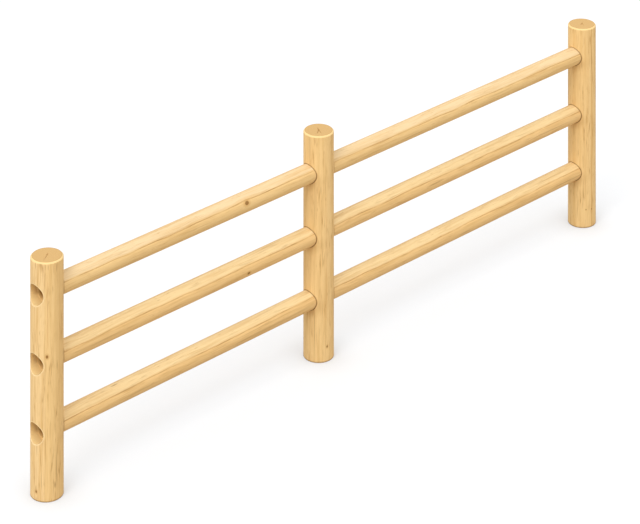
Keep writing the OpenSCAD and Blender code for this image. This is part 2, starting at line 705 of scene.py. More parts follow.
            # Painted shade: a soft darker patch on the post under each rail.
            if trunk.stock is Stock.POST:
                most = add(tree, "MapRange", rise, *[h * MM for h in self.under_rail_shade_rise_mm], 0.0, 0.3)
                patch = seam.mark(tree, point, 0.0, self.under_rail_shade_mm, most)
                under_rail_shade = add(tree, "Math MAXIMUM", under_rail_shade, patch)
        colour = add(tree, "Mix RGBA", under_rail_shade, colour, linear(self.resin))
        return add(tree, "Mix RGBA", joint_shade, colour, linear(self.crevice_shade))


POST_FINISH = PineFinish(
    sapwood="#F9D69C",
    heartwood="#F7D294",
    latewood="#DCAF6A",
    edge_soft=0.05,
    edge_line=0.25,
    edge_line_mm=3.0,
    line=0.62,
)
TOP_RAIL_FINISH = PineFinish(
    sapwood="#F1D5A6",
    heartwood="#F4CF91",
    latewood="#D8AB68",
    edge_soft=0.2,
    edge_line=0.6,
    edge_line_mm=3.5,
    line=0.28,
)
# The lower rails are of a warmer log, and their sapwood is painted lighter to offset the shade that the
# rails above cast on them.
LOWER_RAIL_WARM_LIT_FINISH = replace(TOP_RAIL_FINISH, sapwood="#FADDA6", heartwood="#F6CE8F")


class Skin:
    """Gathers grids of points into one closed mesh."""

    def __init__(self) -> None:
        """Starts with no points."""
        self.points: list[Point] = []
        self.faces: list[tuple[int, ...]] = []

    def grid(self, rows: list[list[Point]], ring: bool = False) -> None:
        """Adds a grid of points and the faces between them.

        Args:
            rows: Rows of equal length.
            ring: True where each row runs round and meets its own start.
        """
        start = len(self.points)
        wide = len(rows[0])
        self.points += [point for row in rows for point in row]
        for row in range(len(rows) - 1):
            for i in range(wide if ring else wide - 1):
                near, far = i, (i + 1) % wide
                low, high = start + row * wide, start + (row + 1) * wide
                self.faces.append((low + near, low + far, high + far, high + near))

    def mesh(self, name: str, merge: float = 0.001 * MM, crease: float = 32.0) -> bpy.types.Mesh:
        """Joins the grids into a closed, outward-facing mesh.

        Args:
            name: The mesh's name.
            merge: Points nearer than this become one.
            crease: Edges sharper than this stay sharp.

        Returns:
            The mesh.
        """
        mesh = bpy.data.meshes.new(name)
        mesh.from_pydata(self.points, [], self.faces)
        shell = bmesh.new()
        shell.from_mesh(mesh)
        bmesh.ops.remove_doubles(shell, verts=shell.verts, dist=merge)
        bmesh.ops.dissolve_degenerate(shell, edges=shell.edges, dist=merge)
        bmesh.ops.recalc_face_normals(shell, faces=shell.faces)
        shell.to_mesh(mesh)
        shell.free()
        mesh.shade_smooth()
        mesh.set_sharp_from_angle(angle=math.radians(crease))
        return mesh


def curved(start: Vector, bend: Vector, end: Vector, share: float) -> tuple[float, ...]:
    """Finds a point on the curve that eases a corner.

    Args:
        start: Where the curve begins.
        bend: The corner.
        end: Where it ends.
        share: How far along it the point is, from 0 to 1.

    Returns:
        The point.
    """
    return tuple(start * (1 - share) ** 2 + bend * 2 * share * (1 - share) + end * share**2)


def eased(corners: list[tuple[float, float]], ease: float, steps: int = 4) -> list[tuple[float, ...]]:
    """Rounds the inner corners of a profile.

    Args:
        corners: The profile's corners, as radius and height.
        ease: How far from a corner its curve begins.
        steps: Points along each curve, less one.

    Returns:
        The profile with a curve for each inner corner.
    """
    profile = [corners[0]]
    for before, corner, after in zip(corners, corners[1:], corners[2:]):
        bend = Vector(corner)
        start = bend + (Vector(before) - bend).normalized() * ease
        end = bend + (Vector(after) - bend).normalized() * ease
        profile += [curved(start, bend, end, step / steps) for step in range(steps + 1)]
    return profile + [corners[-1]]


def spaced(low: float, high: float, cell: float) -> list[float]:
    """Divides a length evenly.

    Args:
        low: Where it begins.
        high: Where it ends.
        cell: The spacing to come near to.

    Returns:
        The values from low to high, both included.
    """
    count = max(1, round(abs(high - low) / cell))
    return [low + (high - low) * i / count for i in range(count + 1)]


@dataclass(frozen=True)
class Check:
    """A drying crack along a post."""

    bearing: float  # its place round the post
    low: float  # height of its lower end
    high: float  # height of its upper end
    width: float = 1.3 * MM  # at its middle
    depth: float = 2.5 * MM  # at its middle

    def opening(self, height: float) -> float:
        """Tells how far the crack is open at a height, from 0 at its ends to 1."""
        along = (height - self.low) / (self.high - self.low)
        return math.sqrt(math.sin(math.pi * along)) if 0 < along < 1 else 0.0


@dataclass
class Post:
    """A round post with a blind socket on both sides for each row of rails."""

    node: str  # the CAD node that it stands for
    seed: int  # sets its grain
    sap_edge: float  # bearing of the line where the heartwood ends
    sap_way: int  # 1 where the sapwood lies at greater bearings than that, or -1
    rails_on: tuple[Side, ...]  # the sides whose sockets hold a rail
    shakes: tuple[Shake, ...]  # the cracks in its head
    bands: tuple[Band, ...]
    knots: tuple[Knot, ...]
    pockets: tuple[Pocket, ...]
    checks: tuple[Check, ...]
    sap_reach: float = 150.0  # how far round the sapwood runs
    column: float = 4.5  # angle between the columns of its mesh
    cell: float = 6.25 * MM  # height of the cells of its mesh
    collar_cells: int = 20  # cells along each side of the square round a socket
    collar_shares: tuple[float, ...] = (0.0, 0.1, 0.25, 0.45, 0.7, 1.0)  # its rows, from mouth to edge
    mouth_steps: int = 5  # rows over a socket's eased edge
    bore_steps: int = 8  # rows along its bore
    bottom_cell: float = 6 * MM  # width of the rings of cells on its bottom
    foot_cell: float = 10 * MM  # width of those on the foot
    head_rings: int = 22  # rings of cells on its head
    head_draw: float = 1.25  # the power that draws these together towards the pith
    head_chamfer: float = 7 * MM  # size of the 45 degree chamfer round its head
    foot_arris: float = 2 * MM  # size of the arris taken off its foot
    ease: float = 1.2 * MM  # how far the edges are rounded by handling
    mouth_ease: float = 2.2 * MM  # how far the edge of a socket is rounded
    shake_width: float = 2.8 * MM  # width of a crack in its head, at the pith
    shake_depth: float = 3 * MM  # depth of such a crack at the pith
    centre: float = field(init=False)
    radius: float = field(init=False)
    height: float = field(init=False)

    def __post_init__(self) -> None:
        """Takes the place and size of the post from its CAD node, and the bores from the record."""
        low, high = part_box(self.node)
        self.centre = (low[0] + high[0]) / 2
        self.radius = (high[0] - low[0]) / 2
        self.height = high[2]
        bores = [m for m in frame["record"]["mounts"] if m["kind"] == "bore"]
        self.levels = sorted({round(m["pos_m"][2], 6) for m in bores})
        self.bore_radius = bores[0]["dims"]["r_mm"] * MM
        self.bore_depth = bores[0]["dims"]["length_mm"] * MM
        self.turn = round(360 / self.column)

    def beside(self, column: int, bearing: float) -> int:
        """Counts the columns from the one nearest a bearing to another, the shorter way round."""
        return (column - round(bearing / self.column) + self.turn // 2) % self.turn - self.turn // 2

    def on_wall(self, bearing: float, height: float, inset: float = 0.0) -> Point:
        """Places a point on the round wall.

        Args:
            bearing: Its place round the post.
            height: Its height.
            inset: How far it lies in from the wall.

        Returns:
            The point.
        """
        angle = math.radians(bearing)
        reach = self.radius - inset
        return self.centre + reach * math.sin(angle), -reach * math.cos(angle), height

    def wall_row(self, columns: list[int], height: float) -> list[Point]:
        """Makes a row of the wall, with the columns drawn together where a check is open.

        Args:
            columns: The columns, counted from the front.
            height: The row's height.

        Returns:
            The row's points.
        """
        row = []
        for column in columns:
            bearing, inset = column * self.column, 0.0
            for check in self.checks:
                opening = check.opening(height)
                beside = self.beside(column, check.bearing)
                if opening and beside == 0:
                    inset = check.depth * opening
                if opening and abs(beside) == 1:
                    half = math.degrees(check.width / 2 / self.radius)
                    bearing = round(check.bearing / self.column) * self.column + beside * half
            row.append(self.on_wall(bearing, height, inset))
        return row

    def wall(self, skin: Skin) -> None:
        """Adds the round wall, apart from the squares round the sockets.

        Args:
            skin: The skin that it joins.
        """
        half_square = self.collar_cells / 2 * self.cell
        quarter, half_collar = self.turn // 4, self.collar_cells // 2
        whole = list(range(self.turn))
        front = list(range(-quarter + half_collar, quarter - half_collar + 1))
        back = [column + 2 * quarter for column in front]
        low = self.foot_arris + self.ease
        for level in self.levels:
            bottom, top = level - half_square, level + half_square
            skin.grid([self.wall_row(whole, z) for z in spaced(low, bottom, self.cell)], ring=True)
            for columns in (front, back):
                skin.grid([self.wall_row(columns, z) for z in spaced(bottom, top, self.cell)])
            low = top
        top = self.height - self.head_chamfer - self.ease
        skin.grid([self.wall_row(whole, z) for z in spaced(low, top, self.cell)], ring=True)

    def socket(self, skin: Skin, side: Side, level: float) -> None:
        """Adds a blind socket: its square of wall, eased mouth, bore and flat bottom.

        Args:
            skin: The skin that it joins.
            side: The side that it is bored from.
            level: Height of its axis.
        """
        count = 4 * self.collar_cells
        half = self.collar_cells / 2
        angles = [math.radians(-45 + 360 * i / count) for i in range(count)]
        edge = []
        for i in range(count):
            quarter, step = divmod(i, self.collar_cells)
            slide = step - half
            edge.append(((half, slide), (-slide, half), (-half, -slide), (slide, -half))[quarter])

        def wall_point(across: float, up: float) -> Point:
            """Places a point of the wall.

            Args:
                across: Its arc across from the bore's axis.
                up: Its height over that axis.

            Returns:
                The point.
            """
            arc = across / self.radius
            out, sideways = self.radius * math.cos(arc), self.radius * math.sin(arc)
            return self.centre + side.value * out, sideways, level + up

        def bore_point(angle: float, reach: float, out: float) -> Point:
            """Places a point by its angle round the bore's axis, reach and distance out."""
            across, up = reach * math.cos(angle), reach * math.sin(angle)
            return self.centre + side.value * out, across, level + up

        mouth = self.bore_radius + self.mouth_ease
        column_arc = math.radians(self.column) * self.radius
        rows = []
        for share in self.collar_shares:
            row = []
            for angle, (across, up) in zip(angles, edge):
                arc = self.radius * math.asin(mouth * math.cos(angle) / self.radius)
                rim, square = (arc, mouth * math.sin(angle)), (across * column_arc, up * self.cell)
                row.append(wall_point(*[r + (s - r) * share for r, s in zip(rim, square)]))
            rows.append(row)
        skin.grid(rows[::-1], ring=True)

        rim = skin.points[-count:]
        crowns = [math.sqrt(self.radius**2 - (self.bore_radius * math.cos(a)) ** 2) for a in angles]
        rows = []
        for share in spaced(0, 1, 1 / self.mouth_steps):
            row = []
            for angle, crown, start in zip(angles, crowns, rim):
                corner = Vector(bore_point(angle, self.bore_radius, crown))
                inner = Vector(bore_point(angle, self.bore_radius, crown - self.mouth_ease))
                row.append(curved(Vector(start), corner, inner, share))
            rows.append(row)
        bottom = self.radius - self.bore_depth
        deep = bottom + self.ease
        for share in spaced(0, 1, 1 / self.bore_steps)[1:]:
            row = []
            for angle, crown in zip(angles, crowns):
                out = crown - self.mouth_ease
                row.append(bore_point(angle, self.bore_radius, out + (deep - out) * share))
            rows.append(row)
        corners = [(self.bore_radius, deep + self.ease), (self.bore_radius, bottom), (0.0, bottom)]
        for reach, out in eased(corners, self.ease)[2:-1]:
            rows.append([bore_point(angle, reach, out) for angle in angles])
        for reach in spaced(self.bore_radius - self.ease, 0.0, self.bottom_cell)[1:]:
            rows.append([bore_point(angle, reach, bottom) for angle in angles])
        skin.grid(rows, ring=True)

    def lathe(self, skin: Skin, profile: list[tuple[float, ...]]) -> None:
        """Turns a profile round the post's axis.

        Args:
            skin: The skin that the surface joins.
            profile: The profile, as radius and height.
        """
        rows = []
        for reach, height in profile:
            inset = self.radius - reach
            rows.append([self.on_wall(i * self.column, height, inset) for i in range(self.turn)])
        skin.grid(rows, ring=True)

    def chamfer(self, size: float, edge: float, inwards: int) -> list[tuple[float, float]]:
        """Draws the profile of a chamfered end, from the wall to a little way across the end.

        Args:
            size: The chamfer's size.
            edge: Height of the end.
            inwards: 1 where the post lies above the end, or -1.

        Returns:
            The profile's corners, as radius and height.
        """
        flat = self.radius - size
        return [
            (self.radius, edge + inwards * (size + self.ease)),
            (self.radius, edge + inwards * size),
            (flat, edge),
            (flat - 2 * self.ease, edge),
        ]

    def foot(self, skin: Skin) -> None:
        """Adds the sawn foot and its arris.

        Args:
            skin: The skin that it joins.
        """
        corners = self.chamfer(self.foot_arris, 0.0, 1)
        sole = [(reach, 0.0) for reach in spaced(corners[-1][0], 0.0, self.foot_cell)[1:]]
        self.lathe(skin, eased(corners, self.ease / 2) + sole)

    def head(self, skin: Skin) -> None:
        """Adds the chamfered head, with fine cracks that run out from the pith.

        Args:
            skin: The skin that it joins.
        """
        corners = self.chamfer(self.head_chamfer, self.height, -1)
        self.lathe(skin, eased(corners, self.ease * 0.9))
        outer = corners[-1][0]
        shares = [1 - i / self.head_rings for i in range(self.head_rings)]
        rows = []
        for reach in [outer * share**self.head_draw for share in shares] + [0.0]:
            row = []
            for column in range(self.turn):
                bearing, sunk = column * self.column, 0.0
                for shake in self.shakes:
                    opening = max(0.0, 1 - reach / (shake.length_mm * MM))
                    beside = self.beside(column, shake.bearing)
                    half = math.degrees(self.shake_width / 2 * opening / max(reach, MM))
                    if beside == 0 or reach == 0:
                        sunk = self.shake_depth * math.sqrt(opening)
                    if abs(beside) == 1 and opening and half < self.column:
                        bearing = (column - beside) * self.column + beside * half
                row.append(self.on_wall(bearing, self.height - sunk, self.radius - reach))
            rows.append(row)
        skin.grid(rows, ring=True)

    def in_trunk(self, bearing: float) -> float:
        """Turns a bearing on the post into one from the edge of its heartwood."""
        return self.sap_way * (bearing - self.sap_edge)

    def mark_trunk(self, mesh: bpy.types.Mesh) -> None:
        """Writes each point's place in the trunk, for the grain to follow.

        Args:
            mesh: The post's mesh.
        """
        places = mesh.attributes.new(TRUNK_PLACE, "FLOAT_VECTOR", "POINT")
        for vertex, place in zip(mesh.vertices, places.data):
            x, y, z = vertex.co
            angle = math.radians(self.in_trunk(math.degrees(math.atan2(x - self.centre, -y))))
            reach = math.hypot(x - self.centre, y) / MM
            place.vector = reach * math.cos(angle), reach * math.sin(angle), z / MM

    def trunk(self) -> Trunk:
        """Describes the trunk that the post was cut from.

        Returns:
            The trunk.
        """
        listed = {"knots": self.knots, "pockets": self.pockets, "shakes": self.shakes}
        marks = {
            kind: tuple(replace(mark, bearing=self.in_trunk(mark.bearing)) for mark in found)
            for kind, found in listed.items()
        }
        bands = []
        for band in self.bands:
            start, end = sorted((self.in_trunk(band.start), self.in_trunk(band.end)))
            bands.append(Band(start, end, band.shade))
        edges = [
            Seam((self.centre, 0.0, level), (0, 1, 1), self.bore_radius, side)
            for level in self.levels
            for side in Side
        ]
        return Trunk(
            stock=Stock.POST,
            radius_mm=self.radius / MM,
            top_mm=self.height / MM,
            seed=self.seed,
            sap_reach=self.sap_reach,
            bands=tuple(bands),
            seams=tuple(edge for edge in edges if edge.side in self.rails_on),
            mouths=tuple(edge for edge in edges if edge.side not in self.rails_on),
            bores_mm=tuple(level / MM for level in self.levels),
            **marks,
        )

    def build(self) -> bpy.types.Object:
        """Builds the post and gives it its finish.

        Returns:
            The finished piece.
        """
        skin = Skin()
        self.foot(skin)
        self.wall(skin)
        for level in self.levels:
            for side in Side:
                self.socket(skin, side, level)
        self.head(skin)
        mesh = skin.mesh(f"{self.node}_timber")
        self.mark_trunk(mesh)
        mesh.materials.append(POST_FINISH.material(f"milled_pine_{self.node}", self.trunk()))
        return placed(mesh.name, mesh)


def placed(name: str, data: bpy.types.ID | None) -> bpy.types.Object:
    """Puts a new object into the scene, at its origin.

    Args:
        name: The object's name.
        data: Its mesh, lamp or camera, or None for an empty one.

    Returns:
        The object.
    """
    piece = bpy.data.objects.new(name, data)
    bpy.context.scene.collection.objects.link(piece)
    return piece


@dataclass
class Rail:
    """A round rail with a long, fine drying check in its front, made by Geometry Nodes."""

    node: str  # the CAD node that it stands for
    seed: int  # sets its grain and the way its check wanders
    check_from: float  # bearing of the check at the rail's left end
    check_to: float  # its bearing at the right end, after the turn of the grain
    finish: PineFinish
    knots: tuple[Knot, ...] = ()
    pockets: tuple[Pocket, ...] = ()
    # The default bands are painted shade: one along the rail's upper back edge and one over its front
    # underside.
    bands: tuple[Band, ...] = (Band(68, 100, 0.45), Band(-120, -38, 0.12))
    sap_reach: float = 85.0  # how far round the sapwood runs
    columns: int = 72  # faces round the rail
    cell: float = 5 * MM  # length of its faces
    end_arris: float = 3 * MM  # size of the arris taken off its ends
    check_width: float = 1.3 * MM
    check_depth: float = 2.0 * MM
    check_wander: float = 2.5 * MM  # how far the check strays from its line
    check_turns: float = 1.7  # how often to a metre it strays
    check_breaths: float = 3.0  # how often to a metre it opens and closes
    post_radius: float = 80 * MM  # of the posts that hold it
    bore_end: float = 20.3 * MM  # how far its ends stop short of their axes
    start: float = field(init=False)
    end: float = field(init=False)
    level: float = field(init=False)
    radius: float = field(init=False)

    def __post_init__(self) -> None:
        """Takes the place and size of the rail from its CAD node."""
        low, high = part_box(self.node)
        self.start, self.end = low[0], high[0]
        self.level = (low[2] + high[2]) / 2
        self.radius = (high[2] - low[2]) / 2

    def sizes(self) -> dict[str, tuple[str, object]]:
        """Lists the inputs of the tree that mills a rail.

        Returns:
            The kind of each input and this rail's value for it, by name.
        """
        length = self.end - self.start
        return {
            "Columns": ("Int", self.columns),
            "Rows": ("Int", round(length / self.cell)),
            "Radius": ("Float", self.radius),
            "Length": ("Float", length),
            "Arris": ("Float", self.end_arris),
            "Check Width": ("Float", self.check_width),
            "Check Depth": ("Float", self.check_depth),
            "Check Wander": ("Float", self.check_wander),
            "Check Turns": ("Float", self.check_turns),
            "Check Breaths": ("Float", self.check_breaths),
            "Check From": ("Float", math.radians(self.check_from)),
            "Check To": ("Float", math.radians(self.check_to)),
            "Seed": ("Float", float(self.seed)),
            "Place": ("Vector", ((self.start + self.end) / 2, 0.0, self.level)),
            "Finish": ("Material", self.finish.material(f"milled_pine_{self.node}", self.trunk())),
        }

    @staticmethod
    def tree(sizes: dict[str, tuple[str, object]]) -> Tree:
        """Makes the tree that mills a rail: a bar with its check, laid along X.

        Args:
            sizes: The tree's inputs, as sizes() lists them.

        Returns:
            The tree.
        """
        tree = bpy.data.node_groups.new(MILL, "GeometryNodeTree")
        for name, (kind, _) in sizes.items():
            tree.interface.new_socket(name, in_out="INPUT", socket_type=f"NodeSocket{kind}")
        tree.interface.new_socket("Geometry", in_out="OUTPUT", socket_type="NodeSocketGeometry")
        given = add(tree, "NodeGroupInput").outputs

        # A bar with the arrises left off its length. Its ends are pushed out by an arris, and
        # the ring of points at two thirds of their radius is spread to the arris's inner edge.
        arrises = add(tree, "Math MULTIPLY", given["Arris"], 2.0)
        straight = add(tree, "Math SUBTRACT", given["Length"], arrises)
        faces = given["Columns"], given["Rows"], END_RINGS
        bar = add(tree, "MeshCylinder", *faces, given["Radius"], straight, fill_type="TRIANGLE_FAN")
        x, y, z = add(tree, "SeparateXYZ", add(tree, "InputPosition")).outputs
        flat = add(tree, "CombineXYZ", x, y)
        reach = add(tree, "VectorMath LENGTH", flat)
        share = add(tree, "Math DIVIDE", reach, given["Radius"])
        ring, rim = 0.5, 0.9  # shares of the radius just inside the outer ring and the rim
        inside = add(tree, "Math LESS_THAN", share, rim)
        outermost = add(tree, "Math GREATER_THAN", share, ring)
        on_end_ring = add(tree, "Math MULTIPLY", inside, outermost)
        to_arris = add(tree, "Math SUBTRACT", given["Radius"], given["Arris"])
        reach = add(tree, "Mix", on_end_ring, reach, to_arris)
        end_sign = add(tree, "Math SIGN", z)
        beyond = add(tree, "Math MULTIPLY", inside, given["Arris"])
        z = add(tree, "Math MULTIPLY_ADD", end_sign, beyond, z)

        # The columns are counted both ways from the check. The two nearest on either side
        # are drawn in to its lips, and the rest share what is left.
        angle = add(tree, "Math ARCTAN2", y, x)
        way = add(tree, "Math SIGN", angle)
        away = add(tree, "Math ABSOLUTE", angle)
        column = add(tree, "Math DIVIDE", math.tau, given["Columns"])
        count = add(tree, "Math DIVIDE", away, column)
        lips = add(tree, "Math MINIMUM", count, LIP_COLUMNS)
        width = add(tree, "Math DIVIDE", given["Check Width"], given["Radius"])
        step = add(tree, "Math DIVIDE", width, LIP_COLUMNS)
        near = add(tree, "Math MULTIPLY", lips, step)
        half_turn = add(tree, "Math MULTIPLY", given["Columns"], 0.5)
        left = add(tree, "Math SUBTRACT", math.pi, width)
        far = add(tree, "MapRange", count, LIP_COLUMNS, half_turn, 0.0, left)
        away = add(tree, "Math ADD", near, far)
        angle = add(tree, "Math MULTIPLY", away, way)

        # The check opens and closes along the rail, and its sides curve down to its bottom.
        breath = add(tree, "Math MULTIPLY", z, given["Check Breaths"])
        breath = add(tree, "CombineXYZ", breath)
        opening = add(tree, "TexNoise", None, None, 1.0, 1.0, noise_dimensions="4D")
        tree.links.new(breath.outputs[0], opening.inputs["Vector"])
        tree.links.new(given["Seed"], opening.inputs["W"])
        shut, wide, curve = 0.36, 0.56, 1.6
        open_share = add(tree, "MapRange", opening, shut, wide)
        lip = add(tree, "MapRange", count, 0.0, LIP_COLUMNS, 1.0, 0.0)
        lip = add(tree, "Math POWER", lip, curve)
        sunk = add(tree, "Math MULTIPLY", lip, open_share)
        sunk = add(tree, "Math MULTIPLY", sunk, given["Check Depth"])
        on_rim = add(tree, "Math GREATER_THAN", share, rim)
        sunk = add(tree, "Math MULTIPLY", sunk, on_rim)
        reach = add(tree, "Math SUBTRACT", reach, sunk)

        # The place in the trunk, before the grain's own turn.
        cosine = add(tree, "Math COSINE", angle)
        sine = add(tree, "Math SINE", angle)
        across = add(tree, "Math MULTIPLY", reach, cosine)
        up = add(tree, "Math MULTIPLY", reach, sine)
        trunk = add(tree, "CombineXYZ", across, up, z)
        trunk_mm = add(tree, "VectorMath SCALE", trunk, 1 / MM)

        # The turn: from the check's bearing at one end to that at the other, and its wander.
        half = add(tree, "Math MULTIPLY", given["Length"], 0.5)
        half_back = add(tree, "Math MULTIPLY", half, -1.0)
        drift = add(tree, "MapRange", z, half_back, half, given["Check From"], given["Check To"])
        stray = add(tree, "Math MULTIPLY_ADD", z, given["Check Turns"], given["Seed"])
        stray = add(tree, "TexNoise", stray, 1.0, 3.0, noise_dimensions="1D")
        stray = add(tree, "MapRange", stray, 0.0, 1.0, -2.0, 2.0)
        wander = add(tree, "Math DIVIDE", given["Check Wander"], given["Radius"])
        turn = add(tree, "Math MULTIPLY_ADD", stray, wander, drift)
        bearing = add(tree, "Math ADD", angle, turn)
        cosine = add(tree, "Math COSINE", bearing)
        sine = add(tree, "Math SINE", bearing)
        front = add(tree, "Math MULTIPLY", cosine, reach)
        front = add(tree, "Math MULTIPLY", front, -1.0)
        rise = add(tree, "Math MULTIPLY", sine, reach)
        laid = add(tree, "CombineXYZ", z, front, rise)
        laid = add(tree, "VectorMath ADD", laid, given["Place"])

        marked = add(tree, "StoreNamedAttribute FLOAT_VECTOR", bar, None, TRUNK_PLACE, trunk_mm)
        kept = add(tree, "CaptureAttribute", marked)
        kept.capture_items.new("VECTOR", "Laid")
        tree.links.new(laid.outputs[0], kept.inputs["Laid"])
        moved = add(tree, "SetPosition", kept.outputs["Geometry"], None, kept.outputs["Laid"])
        # Laying the bar along X mirrors it, so its faces are turned to point outwards again.
        outward = add(tree, "FlipFaces", moved)
        smooth = add(tree, "SetShadeSmooth", outward)
        real = add(tree, "RealizeInstances", smooth)
        dressed = add(tree, "SetMaterial", real, None, given["Finish"])
        add(tree, "NodeGroupOutput", dressed)
        return tree

    def in_trunk(self, mark: Mark) -> Mark:
        """Turns a mark's place on the fence into its place in the rail's trunk.

        Args:
            mark: The knot or pocket, as it lies on the fence.

        Returns:
            The same mark, as it lies in the trunk.
        """
        share = (mark.along - self.start) / (self.end - self.start)
        bearing = mark.bearing - (self.check_from + (self.check_to - self.check_from) * share)
        return replace(mark, along=mark.along - (self.start + self.end) / 2, bearing=bearing)

    def trunk(self) -> Trunk:
        """Describes the trunk that the rail was cut from.

        Returns:
            The trunk.
        """
        posts = self.start - self.bore_end, self.end + self.bore_end
        return Trunk(
            stock=Stock.RAIL,
            radius_mm=self.radius / MM,
            top_mm=(self.end - self.start) / 2 / MM,
            seed=self.seed,
            sap_reach=self.sap_reach,
            knots=tuple(self.in_trunk(knot) for knot in self.knots),
            pockets=tuple(self.in_trunk(pocket) for pocket in self.pockets),
            bands=self.bands,
            seams=tuple(Seam((post, 0.0, self.level), LEVEL, self.post_radius) for post in posts),
        )

    def build(self) -> bpy.types.Object:
        """Mills the rail by its tree, and keeps the result as a plain mesh.

        Returns:
            The finished piece, with no modifier left on it.
        """
        name = f"{self.node}_timber"
        sizes = self.sizes()
        piece = placed(name, bpy.data.meshes.new(f"{name}_blank"))
        modifier = piece.modifiers.new("mill", "NODES")
        modifier.node_group = bpy.data.node_groups.get(MILL) or self.tree(sizes)
        for item in modifier.node_group.interface.items_tree:
            if item.in_out == "INPUT":
                modifier[item.identifier] = sizes[item.name][1]
        made = piece.evaluated_get(bpy.context.evaluated_depsgraph_get())
        mesh = bpy.data.meshes.new_from_object(made)
        mesh.name = name
        piece.modifiers.remove(modifier)
        piece.data = mesh
        return piece


@dataclass(frozen=True)
class Lamp:
    """A soft, distant light."""

    name: str
    strength: float
    spread: float  # how wide it is, as an angle
    towards: Point  # the direction that it comes from

    def hang(self, away: float) -> None:
        """Hangs the lamp.

        Args:
            away: How far off its marker is drawn. The light itself is endlessly far.
        """
        lamp = bpy.data.lights.new(self.name, "SUN")
        lamp.energy = self.strength
        lamp.angle = math.radians(self.spread)
        piece = placed(self.name, lamp)
        towards = Vector(self.towards).normalized()
        piece.rotation_mode = "QUATERNION"
        piece.rotation_quaternion = towards.to_track_quat("Z", "Y")
        piece.location = towards * away


@dataclass
class Studio:
    """A white floor, soft light from the upper left and a long lens."""

    aim: Point = (0.01, 0.0, 0.484)  # the point at the middle of the view
    reach: float = 14.477  # the camera's distance from it across the ground
    azimuth: float = -43.77  # its bearing: 0 in front of the fence and 90 at the right end
    rise: float = 7.188  # how far it stands above the aim
    lens_mm: float = 173.5  # its focal length
    floor_size: float = 80.0  # side of the floor
    key: Lamp = Lamp("key", 1.09, 31.0, (-0.62, -0.15, 0.76))
    fill: Lamp = Lamp("fill", 0.56, 80.0, (-0.5, -0.75, 0.45))
    sky_strength: float = 0.9  # of the even light from all round
    white: str = "#FFFFFF"
    floor_grey: str = "#B0A99C"  # how much of the light the floor throws back up
    floor_matt: str = "#F8FAFD"  # cool enough to even out the warm light off the timber
    floor_shadow: float = 0.46  # how much of the shadow on the floor shows
    floor_glow: float = 0.96  # how bright the rest of the floor looks
    foot_shadow: float = 0.46  # how dark the soft shadow close to a foot is
    foot_shadow_reach: float = 0.16

    def seen_white(self, tree: Tree) -> Node:
        """Adds a mask of the rays that see the backdrop itself: from the camera, a
        reflection or through glass.

        Args:
            tree: The nodes of the floor or the sky.

        Returns:
            A node that gives 1 for such a ray and 0 for any other.
        """
        rays = add(tree, "LightPath").outputs
        seen = add(tree, "Math MAXIMUM", rays["Is Camera Ray"], rays["Is Glossy Ray"])
        return add(tree, "Math MAXIMUM", seen, rays["Is Transmission Ray"])

    def floor(self) -> None:
        """Lays the floor: white to the eye with a faint shadow, and a pale grey that
        throws a little light back up."""
        half = self.floor_size / 2
        mesh = bpy.data.meshes.new("floor")
        corners = [(-half, -half, 0), (half, -half, 0), (half, half, 0), (-half, half, 0)]
        mesh.from_pydata(corners, [], [(0, 1, 2, 3)])
        material = bpy.data.materials.new("white_studio_floor")
        material.use_nodes = True
        tree = material.node_tree
        tree.nodes.clear()
        matt = add(tree, "BsdfDiffuse", linear(self.floor_matt))
        nearby = add(tree, "AmbientOcclusion", None, self.foot_shadow_reach).outputs["AO"]
        least = self.floor_glow * (1 - self.foot_shadow)
        glow = add(tree, "MapRange", nearby, 0.0, 1.0, least, self.floor_glow)
        white = add(tree, "Emission", linear(self.white), glow)
        shown = add(tree, "MixShader", self.floor_shadow, white, matt)
        bounce = add(tree, "BsdfDiffuse", linear(self.floor_grey))
        both = add(tree, "MixShader", self.seen_white(tree), bounce, shown)
        add(tree, "OutputMaterial", both)
        mesh.materials.append(material)
        placed("floor", mesh)

    def sky(self) -> None:
        """Surrounds the scene with even light that looks white."""
        world = bpy.data.worlds.new("soft_box")
        world.use_nodes = True
        tree = world.node_tree
        tree.nodes.clear()
        light = add(tree, "Background", linear(self.white), self.sky_strength)
        white = add(tree, "Background", linear(self.white), 1.0)
        both = add(tree, "MixShader", self.seen_white(tree), light, white)
        add(tree, "OutputWorld", both)
        bpy.context.scene.world = world

    def camera(self) -> None:
        """Sets up the camera with its back upright, as a view camera stands for a building.

        It looks down at the fence, but the upright of its picture is the true vertical,
        so that the posts stay parallel. Such a frame isn't square, and only the offset
        from a parent can hold it.
        """
        lens = bpy.data.cameras.new("camera")
        lens.lens = self.lens_mm
        azimuth = math.radians(self.azimuth)
        right = Vector((math.cos(azimuth), math.sin(azimuth), 0.0))
        back = Vector((math.sin(azimuth), -math.cos(azimuth), self.rise / self.reach))
        upright = Vector((0.0, 0.0, 1.0))
        standing = Matrix((right, upright, back.normalized())).transposed().to_4x4()
        standing.translation = Vector(self.aim) + back * self.reach
        camera = placed("camera", lens)
        camera.parent = placed("tripod", None)
        camera.matrix_parent_inverse = standing
        bpy.context.scene.camera = camera

    def build(self) -> None:
        """Sets up the whole studio."""
        self.floor()
        self.sky()
        for lamp in (self.key, self.fill):
            lamp.hang(self.reach)
        self.camera()
        bpy.context.scene.view_settings.view_transform = "Standard"


